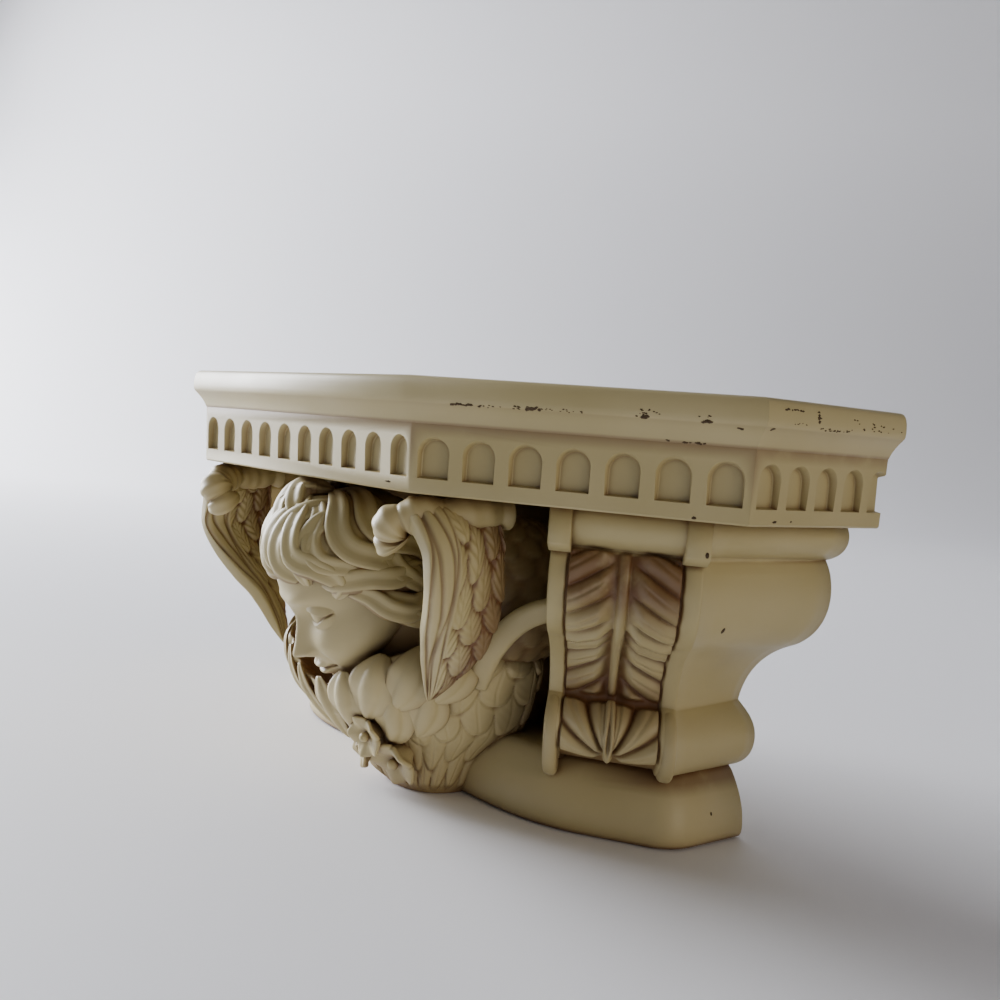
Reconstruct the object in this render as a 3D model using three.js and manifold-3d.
// Angel figure corbel: a small wall shelf cast in one piece. A winged cherub's head and its breast
// of feathers stand under the front of the shelf, between two brackets with acanthus leaves.
// Millimetres, +Z up. The flat back lies in the plane y = 0 and faces +Y, the front faces -Y,
// and x = 0 halves the shelf. Heights are written down from the top of the shelf, so they are
// negative, and the finished mesh is lifted by half the height, which puts the origin at the
// middle of the back.
import * as THREE from 'three';
import * as BufferGeometryUtils from 'three/addons/utils/BufferGeometryUtils.js';
import Module from 'manifold-3d';

const wasm = await Module();
wasm.setup();

// Driving dimensions: the whole
const overallHeight = 127.5;
// Driving dimensions: plan of the frieze, half of it
const frontHalfWidth = 64;
const frontDepth = 101.7;
const sideHalfWidth = 140;
const sideDepth = 54.2;
// Driving dimensions: section of the shelf
const slabHeight = 8;
const slabOverhang = 4.6;
const slabTopOverhang = 2.6;
const slabEdgeRound = 1;
const slabNose = 3.6;
const coveHeight = 4.4;
const friezeBottom = 31;
const friezeTaper = 1.2;
// Driving dimensions: arches of the frieze
const archTop = 15.9;
const archBottom = 26.9;
const archDepth = 2.3;
const archDraft = 0.5;
const frontArch = { count: 10, pitch: 12.95, width: 8.2 };
const chamferArch = { count: 7, pitch: 12.7, width: 8.9 };
const returnArch = { count: 5, pitch: 11.3, width: 8.2, first: 6.5 };
// Driving dimensions: brackets
const panelWidth = 41.2;
const panelCorner = 12;
const panelDrift = 0.32;
const panelNarrowing = 0.003;
const panelTopInset = 14;
const filletWidth = 4.9;
const panelSink = 1.6;
const capWidth = 6;
const capProud = 1.2;
const eyeInset = 44.5;
const eyeHeight = -97.2;
const eyeRadius = 5;
const eyeDepth = 3;
const leafLobes = 6;
const leafTop = -43.8;
const leafEnd = -86.5;
const leafDroop = 7.7;
const leafRise = 2.2;
const leafRoot = 1;
const rollLeafReach = 14;
const rollLeafFoot = -105.2;
// Driving dimensions: base slab and the wall of plaster behind the figure
const baseTop = 107.2;
const baseFront = 52;
const baseInset = 37;
const baseChamferInset = 41;
const baseCorner = 9;
const baseBow = 16;
const coreHalfWidth = 80;
const coreFront = 24;
// Driving dimensions: figure
const headCentre = new THREE.Vector3(6, -79, -61);
const headHeight = 54;
const headTurn = THREE.MathUtils.degToRad(-15);
const headBow = THREE.MathUtils.degToRad(32);
const lockCount = 11;
const lockLift = 4;
const hairFullness = 4.5;
const browLine = 52;
const hairReach = 122;
const featherStep = 1.7;
const wingThickness = 8;
const wingRows = 5;
const wingTooth = 0.055;
const rollRadius = 5.6;
const scrollBand = 2.2;
const breastWrap = 125;
const necklineDip = 13;
const necklineAngle = 12;
const necklineSpread = 42;
const scaleRows = 5;
const scalesAround = 18;
const scaleTooth = 4.5;
const blossomRadius = 6.8;

const overlap = 0.6;
const profileSteps = 4;
const rootDepth = 1.2;
const vec = (x, y, z) => new THREE.Vector3(x, y, z);
const spline = points => new THREE.CatmullRomCurve3(points, false, 'centripetal');
const mix = THREE.MathUtils.lerp;
const span = (count, make) => Array.from({ length: count }, (_, i) => make(i, i / Math.max(count - 1, 1)));

// Turns rings of equal length into a closed body; a ring of one point is a tip.
function loft(rings) {
  const points = [];
  const faces = [];
  const starts = rings.map(ring => {
    const start = points.length;
    points.push(...ring);
    return start;
  });
  for (let r = 0; r + 1 < rings.length; r++) {
    const size = Math.max(rings[r].length, rings[r + 1].length);
    for (let i = 0; i < size; i++) {
      const j = (i + 1) % size;
      const [a, b] = rings[r].length > 1 ? [starts[r] + i, starts[r] + j] : [starts[r], starts[r]];
      const next = starts[r + 1];
      const [c, d] = rings[r + 1].length > 1 ? [next + i, next + j] : [next, next];
      if (a !== b) faces.push([a, b, d]);
      if (c !== d) faces.push([a, d, c]);
    }
  }
  const cap = (ring, start, flip) => {
    if (ring.length < 3) return;
    const flat = flatten(ring);
    for (const [a, b, c] of THREE.ShapeUtils.triangulateShape(flat, [])) {
      faces.push(flip ? [start + c, start + b, start + a] : [start + a, start + b, start + c]);
    }
  };
  cap(rings[0], starts[0], true);
  cap(rings.at(-1), starts.at(-1), false);
  return solid(points, faces);
}

// Projects a flat ring on its own plane, keeping its sense of turning.
function flatten(ring) {
  const normal = vec(0, 0, 0);
  ring.forEach((p, i) => normal.add(vec(0, 0, 0).crossVectors(p, ring[(i + 1) % ring.length])));
  normal.normalize();
  const aside = Math.abs(normal.z) < 0.9 ? vec(0, 0, 1) : vec(0, 1, 0);
  const across = aside.cross(normal).normalize();
  const along = normal.clone().cross(across);
  return ring.map(p => new THREE.Vector2(p.dot(across), p.dot(along)));
}

// Makes a solid of points and triangles, with its faces outwards.
function solid(points, faces) {
  let volume = 0;
  for (const [a, b, c] of faces) volume += points[a].dot(vec(0, 0, 0).crossVectors(points[b], points[c]));
  const outward = volume > 0 ? faces : faces.map(([a, b, c]) => [a, c, b]);
  const geometry = new THREE.BufferGeometry();
  geometry.setAttribute('position', new THREE.Float32BufferAttribute(points.flatMap(p => p.toArray()), 3));
  geometry.setIndex(outward.flat());
  return toManifold(geometry);
}

function toManifold(geometry) {
  const bare = geometry.clone();
  bare.deleteAttribute('normal');
  bare.deleteAttribute('uv');
  const merged = BufferGeometryUtils.mergeVertices(bare, 1e-4);
  return new wasm.Manifold(new wasm.Mesh({
    numProp: 3,
    vertProperties: new Float32Array(merged.attributes.position.array),
    triVerts: new Uint32Array(merged.index.array),
  }));
}

function join(bodies) {
  return bodies.reduce((whole, body) => whole.add(body));
}

const mirrorPoint = p => vec(-p.x, p.y, p.z);

// A feather, leaf lobe or lock of hair: a lens-shaped section carried along a curve and drawn to
// a point at its tip. Width and thickness are half sizes, given as functions of the way along.
function paddle({ curve, outward, width, thickness, steps, ridge = 0 }) {
  const rings = span(steps + 1, (i, t) => {
    const centre = curve.getPoint(t);
    if (i === steps) return [centre];
    const along = curve.getTangent(t);
    const out = outward(centre, t).clone().addScaledVector(along, -along.dot(outward(centre, t))).normalize();
    const side = along.clone().cross(out);
    const w = width(t);
    const h = thickness(t);
    const place = (s, o) => centre.clone().addScaledVector(side, s * w).addScaledVector(out, o * h);
    return [place(1, 0), place(0, -rootDepth), place(-1, 0), place(ridge, 1)];
  });
  return loft(rings);
}

// Plan of the frieze moved outwards by a distance, from the left wall end round to the right one
function shelfPlan(offset) {
  const sideCorner = vec(sideHalfWidth, -sideDepth, 0);
  const half = [vec(sideHalfWidth, 0, 0), sideCorner, vec(frontHalfWidth, -frontDepth, 0)];
  const outline = [...half.map(mirrorPoint), ...[...half].reverse()];
  return offsetOpen(outline, offset);
}

// Moves an open outline sideways with mitred corners; its ends slide along the wall.
function offsetOpen(outline, offset) {
  const normals = outline.slice(1).map((p, i) => {
    const d = p.clone().sub(outline[i]).normalize();
    return vec(d.y, -d.x, 0);
  });
  return outline.map((p, i) => {
    const before = normals[Math.max(i - 1, 0)];
    const after = normals[Math.min(i, normals.length - 1)];
    if (before === after || i === 0 || i === outline.length - 1) {
      const n = i === 0 ? after : before;
      return vec(p.x + offset / n.x, 0, 0);
    }
    const mitre = before.clone().add(after);
    return p.clone().addScaledVector(mitre, offset / mitre.dot(before));
  });
}

const atHeight = (plan, z) => plan.map(p => vec(p.x, p.y, z));

// The shelf: a slab with a rounded nose, a cove under it and the frieze
function shelf() {
  const coveSteps = 4;
  const coveTop = -slabHeight;
  const cove = span(coveSteps, (i, t) => {
    const angle = t * Math.PI / 2;
    const sag = 0.35 * Math.sin(2 * angle);
    return [slabOverhang * 0.8 * (1 - t) - sag, coveTop - coveHeight * t];
  });
  const section = [
    [slabTopOverhang - slabEdgeRound, 0],
    [slabTopOverhang, -slabEdgeRound / 2],
    [slabOverhang, -slabNose],
    [slabOverhang, coveTop + slabEdgeRound * 2],
    ...cove,
    [-friezeTaper, -friezeBottom],
  ];
  return loft(section.map(([offset, z]) => atHeight(shelfPlan(offset), z)));
}

// One arch-shaped cutter on a side of the frieze; it narrows inwards like a moulded pocket.
function archCutter(middle, across, inwards, width) {
  const roundSteps = 5;
  const outline = (half, lift, depth) => {
    const springing = -archTop - half;
    const arc = span(roundSteps + 1, (i, t) => {
      const angle = Math.PI * t;
      return [half * Math.cos(angle), springing + half * Math.sin(angle)];
    });
    const points = [...arc, [-half, -archBottom + lift], [half, -archBottom + lift]];
    const floor = middle.clone().addScaledVector(inwards, depth);
    return points.map(([s, z]) => floor.clone().addScaledVector(across, s).setZ(z));
  };
  const mouth = outline(width / 2 + archDraft / 2, 0, -overlap * 2);
  return loft([mouth, outline(width / 2 - archDraft, archDraft, archDepth)]);
}

function archCutters() {
  const cutters = [];
  const row = (from, to, { count, pitch, width, first }) => {
    const across = to.clone().sub(from).normalize();
    const inwards = vec(-across.y, across.x, 0);
    const length = to.distanceTo(from);
    const start = first ?? (length - pitch * (count - 1)) / 2;
    for (let i = 0; i < count; i++) {
      const middle = from.clone().addScaledVector(across, start + i * pitch);
      middle.addScaledVector(inwards, friezeTaper * (archTop - slabHeight) / (friezeBottom - slabHeight));
      cutters.push(archCutter(middle, across, inwards, width));
    }
  };
  const plan = shelfPlan(0);
  row(plan[2], plan[3], frontArch);
  row(plan[3], plan[4], chamferArch);
  row(plan[4], plan[5], returnArch);
  const right = cutters.slice(frontArch.count);
  return [...cutters, ...right.map(cutter => cutter.mirror([1, 0, 0]))];
}

// How far the outside of the bracket and the base lies inside the frieze, going down: a round
// moulding, a belly that runs in to a neck, a small roll and the bulging edge of the base
const bracketProfile = (() => {
  const path = new THREE.Path();
  path.moveTo(11.6, -friezeBottom);
  path.bezierCurveTo(8.4, -33.5, 8.8, -39.5, 16.6, -41.6);
  path.lineTo(14.8, -45);
  path.bezierCurveTo(11.6, -55, 16.5, -63.5, 25, -67.3);
  path.bezierCurveTo(34.5, -71, 41, -78, 42.7, -87);
  path.bezierCurveTo(40, -89, 35.3, -91.5, 35.3, -96.8);
  path.bezierCurveTo(35.3, -101.5, 38, -105, 44, -107.2);
  return path;
})();

const frameOfPanel = (() => {
  const corner = vec(sideHalfWidth, -sideDepth, 0);
  const along = vec(frontHalfWidth, -frontDepth, 0).sub(corner).normalize();
  const inwards = vec(along.y, -along.x, 0);
  return { corner, along, inwards };
})();

// A point on the bracket's front: distance from its outer corner, inset and height
function onPanel(across, inset, z) {
  const { corner, along, inwards } = frameOfPanel;
  const start = panelCorner + panelDrift * (inset - panelTopInset);
  const narrowed = across * (1 - panelNarrowing * (inset - panelTopInset));
  return corner.clone().addScaledVector(along, start + narrowed).addScaledVector(inwards, inset).setZ(z);
}

// The bracket: fillets at both sides of a sunk panel, with a plain side back to the wall
function bracket() {
  const heights = bracketProfile.getPoints(profileSteps);
  const rings = heights.map(({ x: inset, y: z }) => {
    const sunk = z < -43 ? panelSink : 0;
    const inner = onPanel(panelWidth, inset, z);
    return [
      vec(sideHalfWidth - inset, 0, z),
      onPanel(0, inset, z),
      onPanel(filletWidth, inset, z),
      onPanel(filletWidth + sunk / 2, inset + sunk, z),
      onPanel(panelWidth - filletWidth - sunk / 2, inset + sunk, z),
      onPanel(panelWidth - filletWidth, inset, z),
      inner,
      vec(inner.x - 2, 0, z),
    ];
  });
  return loft(dedupe(rings));
}

// Leaves out a ring at the same height as the one before it.
function dedupe(rings) {
  return rings.filter((ring, i) => i === 0 || Math.abs(ring[0].z - rings[i - 1][0].z) > 1e-3);
}

// Small square caps that stop the round moulding above each fillet
function mouldingCaps() {
  const cap = from => {
    const box = (inset, z) => [
      onPanel(from, inset, z),
      onPanel(from + capWidth, inset, z),
      onPanel(from + capWidth, inset + 8, z),
      onPanel(from, inset + 8, z),
    ];
    const front = 9.6 - capProud;
    return loft([box(front, -friezeBottom + overlap), box(front, -40.8), box(front + 3, -42.6)]);
  };
  return [cap(-0.3), cap(panelWidth - capWidth + 0.3)];
}

// Inset of the panel at a height, read from the profile
function insetAt(z) {
  const points = bracketProfile.getPoints(24);
  const next = points.findIndex(p => p.y <= z);
  if (next <= 0) return points[0].x;
  const [a, b] = [points[next - 1], points[next]];
  return mix(a.x, b.x, (z - a.y) / (b.y - a.y));
}

// The hollow eye of the roll, seen at the inner end of each bracket
function voluteEye() {
  const sides = 10;
  const { along, inwards } = frameOfPanel;
  const centre = onPanel(panelWidth, eyeInset, eyeHeight);
  const ring = (radius, depth) => span(sides, i => {
    const angle = 2 * Math.PI * i / sides;
    return centre.clone().addScaledVector(along, depth).addScaledVector(inwards, radius * Math.cos(angle))
      .add(vec(0, 0, radius * Math.sin(angle)));
  });
  return loft([ring(eyeRadius, overlap * 3), ring(eyeRadius * 0.8, -eyeDepth)]);
}

// A point over the middle line of a panel, lifted off its sunk ground
const overPanel = (across, z, lift) => onPanel(panelWidth / 2 + across, insetAt(z) + panelSink - lift, z);

// A folded sheet on a panel: rows of points (across, height, lift), backed inside the ground
function foldedLeaf(rows) {
  return loft(rows.map(row => {
    const [first, last] = [row[0], row.at(-1)];
    const front = row.map(([across, z, lift]) => overPanel(across, z, lift));
    return [...front, overPanel(last[0], last[1], -leafRoot), overPanel(first[0], first[1], -leafRoot)];
  }));
}

// The acanthus leaf on a panel: a midrib with lobes that droop to the sides, each a ridge
// between two creases
function acanthus() {
  const reach = panelWidth / 2 - filletWidth - 0.4;
  const columns = [-1, -0.62, -0.2, -0.09, 0, 0.09, 0.2, 0.62, 1];
  const folds = 2 * leafLobes;
  const rows = span(folds + 1, (i, t) => columns.map(a => {
    const out = Math.abs(a);
    const droop = leafDroop * out ** 0.8 * Math.min(1, i / 2) * (1 - t ** 6);
    const z = mix(leafTop, leafEnd, t) - droop;
    const onRib = out < 0.1;
    const fold = i % 2 ? leafRise * (0.5 + 0.6 * Math.sin(Math.PI * Math.min(1, out))) : 0.1;
    return [a * reach, z, onRib ? leafRise * (a === 0 ? 1.25 : 0.9) * (1 - 0.4 * t) : fold];
  }));
  return foldedLeaf(rows);
}

// The small leaf on the roll below: lobes that fan upwards from the middle of its lower edge
function rollLeaf() {
  const lobes = 5;
  const columns = 2 * lobes + 1;
  const rows = span(3, (i, t) => span(columns, (k, f) => {
    const angle = mix(-78, 78, f) * Math.PI / 180;
    const radius = mix(1.5, rollLeafReach, t);
    const lift = k % 2 ? leafRise * (0.5 + 0.5 * t * (2 - 1.6 * t)) : 0.1;
    return [radius * Math.sin(angle), rollLeafFoot + radius * Math.cos(angle), lift];
  }));
  return foldedLeaf(rows.map(row => [...row].reverse()));
}

// The base slab, with a bulging edge, cut straight in front under the figure
function base() {
  const edge = [[7.1, 0], [4.6, 0.14], [2.7, 0.31], [1.1, 0.49], [0.3, 0.65], [0, 0.88], [1.5, 1]];
  const side = sideHalfWidth - baseInset;
  return loft(edge.map(([inset, share]) => {
    const z = -mix(baseTop, overallHeight, share);
    const { corner, along, inwards } = frameOfPanel;
    const inner = corner.clone().addScaledVector(inwards, baseChamferInset + inset);
    const right = inner.clone().addScaledVector(along, (inner.x - side + inset) / -along.x);
    const front = -baseFront + inset;
    const meet = right.clone().addScaledVector(along, (front - right.y) / along.y);
    const turn = (from, to, length) => from.clone().lerp(to, length / from.distanceTo(to));
    const half = [
      vec(side - inset, 0, 0),
      vec(side - inset, right.y + baseCorner * 0.9, 0),
      turn(right, meet, baseCorner * 0.6),
      turn(meet, right, baseBow),
      vec(meet.x - baseBow * 0.4, front + baseBow * 0.1, 0),
      vec(meet.x - baseBow * 1.6, front, 0),
    ];
    return atHeight([...half.map(mirrorPoint), ...[...half].reverse()], z);
  }));
}

// The plaster behind the figure, from the underside of the shelf down into the base
function core() {
  const plan = [vec(-coreHalfWidth, 0, 0), vec(-coreHalfWidth, -coreFront, 0),
    vec(coreHalfWidth, -coreFront, 0), vec(coreHalfWidth, 0, 0)];
  return loft([atHeight(plan, -friezeBottom + overlap), atHeight(plan, -baseTop - overlap)]);
}

// An egg-shaped body on a grid of rings; place turns a point of the unit ball into its own
function ovoid(around, rows, place) {
  const rings = span(rows + 1, (i, t) => {
    const lat = mix(-Math.PI / 2, Math.PI / 2, t);
    if (i === 0 || i === rows) return [place(vec(0, 0, Math.sign(lat)))];
    return span(around, k => {
      const lon = 2 * Math.PI * k / around;
      return place(vec(Math.cos(lat) * Math.sin(lon), -Math.cos(lat) * Math.cos(lon), Math.sin(lat)));
    });
  });
  return loft(rings);
}

const stretched = (centre, radii) => p => p.clone().multiply(radii).add(centre);

// The head's own frame: turned to one side, then bowed forward
const headTilt = new THREE.Quaternion()
  .setFromAxisAngle(vec(0, 0, 1), headTurn)
  .multiply(new THREE.Quaternion().setFromAxisAngle(vec(1, 0, 0), headBow));
const headRadii = vec(0.41, 0.44, 0.46).multiplyScalar(headHeight);
const inHead = p => p.clone().applyQuaternion(headTilt).add(headCentre);

// A point on the skull from its longitude (0 at the face) and latitude, in degrees
function onSkull(lon, lat, lift) {
  const a = THREE.MathUtils.degToRad(lon);
  const b = THREE.MathUtils.degToRad(lat);
  const unit = vec(Math.cos(b) * Math.sin(a), -Math.cos(b) * Math.cos(a), Math.sin(b));
  return inHead(unit.clone().multiply(headRadii).addScaledVector(unit, lift));
}

const fromHead = p => p.clone().sub(headCentre).normalize();

// Level sections of the head in its own frame, as shares of its height: a round skull, full
// cheeks, and a jaw that runs forward to a small chin
const headSections = [
  { z: 0.465, half: 0.2, front: -0.18, rear: 0.2 },
  { z: 0.39, half: 0.29, front: -0.31, rear: 0.33 },
  { z: 0.27, half: 0.37, front: -0.4, rear: 0.42 },
  { z: 0.12, half: 0.4, front: -0.435, rear: 0.47 },
  { z: 0.02, half: 0.4, front: -0.435, rear: 0.47 },
  { z: -0.06, half: 0.39, front: -0.41, rear: 0.45 },
  { z: -0.15, half: 0.39, front: -0.425, rear: 0.4 },
  { z: -0.24, half: 0.37, front: -0.42, rear: 0.3 },
  { z: -0.33, half: 0.32, front: -0.41, rear: 0.17 },
  { z: -0.41, half: 0.23, front: -0.395, rear: 0 },
  { z: -0.47, half: 0.13, front: -0.38, rear: -0.14 },
];

// The head: a child's head on common proportions, with a small nose, lips and lids
function head() {
  const around = 16;
  const at = (x, y, z) => inHead(vec(x, y, z).multiplyScalar(headHeight));
  const rings = headSections.map(({ z, half, front, rear }) => span(around, k => {
    const lon = 2 * Math.PI * k / around;
    return at(half * Math.sin(lon), (front + rear) / 2 + (front - rear) / 2 * Math.cos(lon), z);
  }));
  const skull = loft([[at(0, 0, 0.5)], ...rings, [at(0, -0.29, -0.5)]]);
  const feature = (points, width, thickness, steps) => paddle({
    curve: spline(points), outward: fromHead, width, thickness, steps,
  });
  const swelling = t => Math.sin(Math.PI * (0.12 + 0.76 * t));
  const nose = feature([at(0, -0.41, 0), at(0, -0.43, -0.08), at(0, -0.49, -0.19), at(0, -0.42, -0.25)],
    t => 1.8 + 2.8 * t * (1 - t * 0.4), t => 1.8 + 1.6 * t, 4);
  const lip = (z, size) => feature([at(-0.12, -0.37, z), at(0, -0.43, z - 0.01), at(0.12, -0.37, z)],
    t => size * swelling(t), () => 1.6, 4);
  const pair = side => {
    const place = (x, y, z) => at(side * x, y, z);
    return [
      feature([place(0.07, -0.385, -0.06), place(0.16, -0.39, -0.05), place(0.26, -0.32, -0.06)],
        t => 2.6 * swelling(t), () => 1.8, 4),
      feature([place(0.05, -0.42, 0.03), place(0.17, -0.4, 0.07), place(0.29, -0.31, 0.03)],
        t => 1.7 * swelling(t), () => 1.1, 4),
    ];
  };
  return [skull, nose, lip(-0.31, 1.5), lip(-0.355, 1.9), ...pair(-1), ...pair(1)];
}

// The hair: a cap over the skull whose locks run back from the brow in waves, each a ridge
// between two creases, with two tufts that stand up in front
function hair() {
  const columns = 2 * lockCount + 1;
  const rows = 9;
  const radians = THREE.MathUtils.degToRad;
  const place = (around, polar, lift) => {
    const [a, b] = [radians(around), radians(polar)];
    const unit = vec(Math.sin(b) * Math.sin(a), -Math.cos(b), Math.sin(b) * Math.cos(a));
    return inHead(unit.clone().multiply(headRadii).addScaledVector(unit, lift));
  };
  const rings = span(rows + 1, i => {
    const t = Math.max(0, i - 1) / (rows - 1);
    if (i === rows) return [place(0, 180, hairFullness * 0.6)];
    const arc = span(columns, (k, f) => {
      const around = mix(-hairReach, hairReach, f);
      const start = browLine + 30 * Math.abs(around / 100) ** 1.5;
      const polar = mix(start, 180, t);
      const wave = 9 * Math.sin(2.6 * Math.PI * t) * Math.sign(around) * Math.min(1, Math.abs(around) / 40);
      const edge = k === 0 || k === columns - 1;
      const full = hairFullness * (0.55 + 0.45 * Math.sin(Math.PI * Math.min(1, 0.8 * t)));
      const lift = edge || i === 0 ? -1.5 : full + (k % 2 ? lockLift : 0.6);
      return place(around + wave * (1 - t), polar - (i === 0 ? 3 : 0), lift);
    });
    const inner = inHead(vec(0, -Math.cos(radians(mix(browLine, 170, t))) * headRadii.y * 0.5, 0));
    return [...arc, inner];
  });
  const tuft = points => paddle({
    curve: spline(points), outward: fromHead, steps: 3,
    width: t => 5.5 * Math.sin(Math.PI * (0.25 + 0.55 * t)), thickness: () => 2.6,
  });
  return [
    loft(rings),
    tuft([onSkull(-12, 32, 2), onSkull(-6, 46, 8), onSkull(4, 70, 7)]),
    tuft([onSkull(16, 32, 2), onSkull(20, 48, 7.5), onSkull(40, 74, 6)]),
  ];
}

// An upper wing: a curved blade from the roll under the shelf down to its point, with rows of
// feathers on both faces; each row ends in a toothed step
function upperWing(side) {
  const flip = p => (side < 0 ? mirrorPoint(p) : p);
  const lead = spline([
    vec(66, -95, -34), vec(69.5, -95, -47), vec(67.5, -93, -58),
    vec(60, -88, -67), vec(52, -82, -75), vec(45, -74.5, -92),
  ]);
  const trail = spline([
    vec(67, -72, -33), vec(69, -71, -45), vec(69, -70, -56),
    vec(67, -69, -65), vec(61, -69, -75), vec(46, -73, -91),
  ]);
  const onBlade = (t, s, o) => {
    const front = lead.getPoint(t);
    const rear = trail.getPoint(t);
    const outward = rear.clone().sub(front).cross(lead.getTangent(t)).normalize();
    return flip(front.lerp(rear, s).addScaledVector(outward, o));
  };
  const outer = span(7, (k, f) => ({ s: mix(0.14, 0.93, f), face: 1, tooth: k % 2 }));
  const inner = span(4, (k, f) => ({ s: mix(0.86, 0.14, f), face: -1, tooth: k % 2 }));
  const columns = [{ s: -0.04, face: 0, tooth: 0 }, ...outer, { s: 1, face: 0, tooth: 0 }, ...inner];
  const ring = (edge, step, stagger) => columns.map(({ s, face, tooth }) => {
    const toothed = tooth === stagger ? wingTooth : 0;
    const t = THREE.MathUtils.clamp(edge + (face ? toothed : wingTooth / 2), 0, 1);
    const round = Math.sqrt(Math.max(0.15, 1 - (2 * Math.abs(s - 0.3)) ** 2 * 0.5));
    return onBlade(t, s, face * (wingThickness / 2 * (1 - 0.5 * t) * round + step));
  });
  const rows = span(wingRows, (i, f) => [
    ring(mix(0.16, 0.86, f), featherStep, i % 2),
    ring(mix(0.16, 0.86, f) + 0.03, 0, i % 2),
  ]).flat();
  const blade = loft([ring(0, 0, 2), ...rows, [onBlade(1, 0.4, 0)]]);
  return [blade, ...wingRoll(flip)];
}

// The rolled top of a wing: three lobes side by side round a level axis
function wingRoll(flip) {
  const axis = spline([
    vec(55, -98, -44), vec(56.5, -99, -39.5), vec(61, -94, -37), vec(66, -84, -36), vec(68, -71, -35.5),
  ]);
  const lobes = 4;
  const perLobe = 3;
  const around = 7;
  const rings = span(lobes * perLobe + 1, (i, t) => {
    if (i === 0) return [flip(axis.getPoint(0))];
    const centre = axis.getPoint(t);
    const along = axis.getTangent(t);
    const side = along.clone().cross(vec(0, 0, 1)).normalize();
    const up = side.clone().cross(along);
    const swell = 0.62 + 0.38 * Math.abs(Math.sin(Math.PI * (t * lobes + 0.25)));
    const radius = rollRadius * swell * mix(1.1, 0.85, t);
    return span(around, k => {
      const angle = 2 * Math.PI * k / around;
      const p = centre.clone().addScaledVector(side, radius * Math.cos(angle));
      return flip(p.addScaledVector(up, radius * Math.sin(angle)));
    });
  });
  return [loft(rings)];
}

// Outline of the breast at a height: half width, front, widest line, rear, and its shift to a side
const breastLevels = [
  { z: -78, half: 49, front: -78, middle: -42, rear: -24, shift: 0 },
  { z: -85, half: 52, front: -86, middle: -42, rear: -24, shift: 0 },
  { z: -92, half: 50, front: -87, middle: -42, rear: -24, shift: 0 },
  { z: -100, half: 46, front: -84, middle: -42, rear: -24, shift: 1 },
  { z: -107, half: 40, front: -79, middle: -43, rear: -25, shift: 4 },
  { z: -114, half: 30, front: -74, middle: -45, rear: -26, shift: 8 },
  { z: -121, half: 22, front: -70, middle: -48, rear: -30, shift: 13 },
  { z: -overallHeight, half: 16, front: -67, middle: -52, rear: -38, shift: 17 },
];

// Height of a row of the breast at an angle: the neckline dips under the chin, and the rows
// below follow it less and less
function underNeckline(angle, z) {
  const top = breastLevels[0].z;
  const dip = necklineDip * Math.exp(-(((angle - necklineAngle) / necklineSpread) ** 2));
  return mix(top - dip, -overallHeight, (top - z) / (top + overallHeight));
}

// A point of the breast: angle 0 at the front, in degrees, and a height
function onBreast(angle, z, lift) {
  const next = Math.max(1, breastLevels.findIndex(level => level.z <= z));
  const [a, b] = [breastLevels[next - 1], breastLevels[next]];
  const t = THREE.MathUtils.clamp((z - a.z) / (b.z - a.z), 0, 1);
  const between = key => mix(a[key], b[key], t);
  const [half, front, middle, rear, shift] = ['half', 'front', 'middle', 'rear', 'shift'].map(between);
  const turn = THREE.MathUtils.degToRad(angle);
  const squared = value => Math.sign(value) * Math.abs(value) ** 0.9;
  const depth = Math.cos(turn) > 0 ? middle - front : rear - middle;
  const x = shift + (half + lift) * squared(Math.sin(turn));
  return vec(x, middle - (depth + lift) * squared(Math.cos(turn)), z);
}

// The breast: a full bowl of plaster that runs down to the base, covered by rows of scale
// feathers; each row ends in a toothed step and stands half a feather beside the next
function breast() {
  const columns = 2 * scalesAround + 1;
  const ring = (edge, lift, stagger) => {
    const front = span(columns, (k, f) => {
      const toothed = k % 2 === stagger ? scaleTooth : 0;
      const angle = mix(-breastWrap, breastWrap, f);
      return onBreast(angle, underNeckline(angle, Math.max(edge - toothed, -overallHeight)), lift);
    });
    const z = Math.max(edge, -overallHeight);
    return [...front, vec(front.at(-1).x, -coreFront + 4, z), vec(front[0].x, -coreFront + 4, z)];
  };
  const rows = span(scaleRows, (i, f) => {
    const edge = mix(-85, -118.5, f);
    return [ring(edge, featherStep, i % 2), ring(edge - 1, 0, i % 2)];
  }).flat();
  return loft([ring(breastLevels[0].z, 0, 2), ...rows, ring(-overallHeight, 0, 2)]);
}

// A band that rises from the edge of the breast and bends over to the bracket
function scroll(side) {
  const path = spline([
    vec(50, -58, -84), vec(57, -60, -73), vec(66, -56, -64), vec(78, -50, -61), vec(91, -45, -64),
  ]);
  const around = 6;
  const rings = span(9, (i, t) => {
    const along = path.getTangent(t);
    const out = vec(1, -1, 0).normalize();
    const across = along.clone().cross(out).normalize();
    const up = across.clone().cross(along);
    return span(around, k => {
      const angle = 2 * Math.PI * k / around;
      const p = path.getPoint(t).addScaledVector(across, scrollBand * Math.cos(angle));
      p.addScaledVector(up, scrollBand * 1.5 * Math.sin(angle));
      return side < 0 ? mirrorPoint(p) : p;
    });
  });
  return loft(rings);
}

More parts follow.
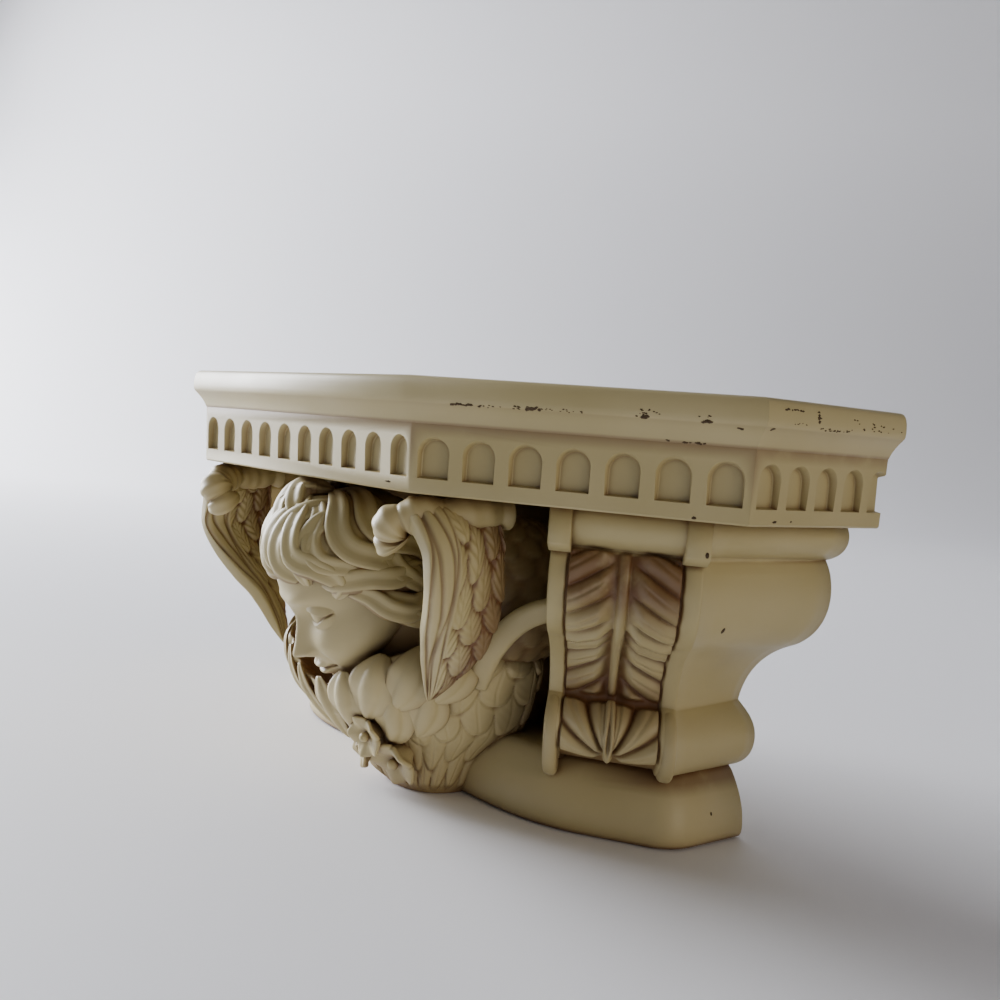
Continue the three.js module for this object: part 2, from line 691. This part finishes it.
// A blossom: petals round a short cup that opens along an axis
function blossom(centre, axis, radius) {
  const dir = axis.clone().normalize();
  const side = dir.clone().cross(vec(0, 0, 1)).normalize();
  const up = side.clone().cross(dir);
  const petals = 5;
  const bodies = [];
  for (let i = 0; i < petals; i++) {
    const angle = 2 * Math.PI * (i + 0.25) / petals;
    const ray = side.clone().multiplyScalar(Math.cos(angle)).addScaledVector(up, Math.sin(angle));
    const at = (r, h) => centre.clone().addScaledVector(ray, r * radius).addScaledVector(dir, h * radius);
    bodies.push(paddle({
      curve: spline([at(0, -0.6), at(0.5, -0.05), at(0.9, 0.35), at(1.1, 0.3)]),
      outward: () => dir,
      width: t => radius * 0.62 * Math.sin(Math.PI * Math.min(0.9, 0.2 + 0.6 * t)),
      thickness: () => radius * 0.16,
      steps: 3,
    }));
  }
  const heart = centre.clone().addScaledVector(dir, 0.1 * radius);
  bodies.push(ovoid(6, 4, stretched(heart, vec(0.3, 0.3, 0.3).multiplyScalar(radius))));
  return bodies;
}

function figure() {
  const neck = ovoid(14, 8, stretched(vec(3, -53, -72), vec(26, 32, 23)));
  const shoulder = side => ovoid(12, 8, stretched(vec(side * 40, -46, -63), vec(20, 26, 26)));
  return [
    breast(), neck, shoulder(1), shoulder(-1), ...head(), ...hair(),
    ...upperWing(1), ...upperWing(-1), scroll(1), scroll(-1),
    ...blossom(vec(6, -74.5, -112.5), vec(0.1, -1, -0.1), blossomRadius),
    ...blossom(vec(14.5, -71, -119.8), vec(0.5, -1, -0.35), blossomRadius * 0.95),
  ];
}

// Keeps the whole behind the wall plane, under the shelf's top and on its flat underside.
function trimmed(body) {
  const reach = 400;
  const slab = (min, max) => {
    const size = max.clone().sub(min);
    const box = new THREE.BoxGeometry(size.x, size.y, size.z);
    box.translate(...min.clone().add(max).multiplyScalar(0.5).toArray());
    return toManifold(box);
  };
  return body.intersect(slab(vec(-reach, -reach, -overallHeight), vec(reach, 0, 0)));
}

function corbel() {
  const half = [bracket(), ...mouldingCaps(), acanthus(), rollLeaf()];
  const sides = join([...half, ...half.map(body => body.mirror([1, 0, 0]))]);
  const eyes = [voluteEye(), voluteEye().mirror([1, 0, 0])];
  const frame = join([shelf(), sides, base(), core()]);
  const carved = join([frame, ...figure()]);
  const sunk = [...archCutters(), ...eyes].reduce((whole, cutter) => whole.subtract(cutter), carved);
  return filled(trimmed(sunk));
}

// Fills the small pockets that are sealed between bodies which meet: their surfaces face inwards.
function filled(body) {
  return wasm.Manifold.compose(body.decompose().filter(piece => piece.volume() > 0));
}

const { vertProperties, triVerts } = corbel().getMesh();
const geometry = new THREE.BufferGeometry();
geometry.setAttribute('position', new THREE.BufferAttribute(new Float32Array(vertProperties), 3));
geometry.setIndex(new THREE.BufferAttribute(new Uint32Array(triVerts), 1));
geometry.computeVertexNormals();

const ivoryPaint = new THREE.MeshStandardMaterial({ color: 0xcfc7a8, roughness: 0.42, metalness: 0 });
const mesh = new THREE.Mesh(geometry, ivoryPaint);
mesh.name = 'angel_corbel';
mesh.position.z = overallHeight / 2;

const group = new THREE.Group();
group.add(mesh);
export default group;
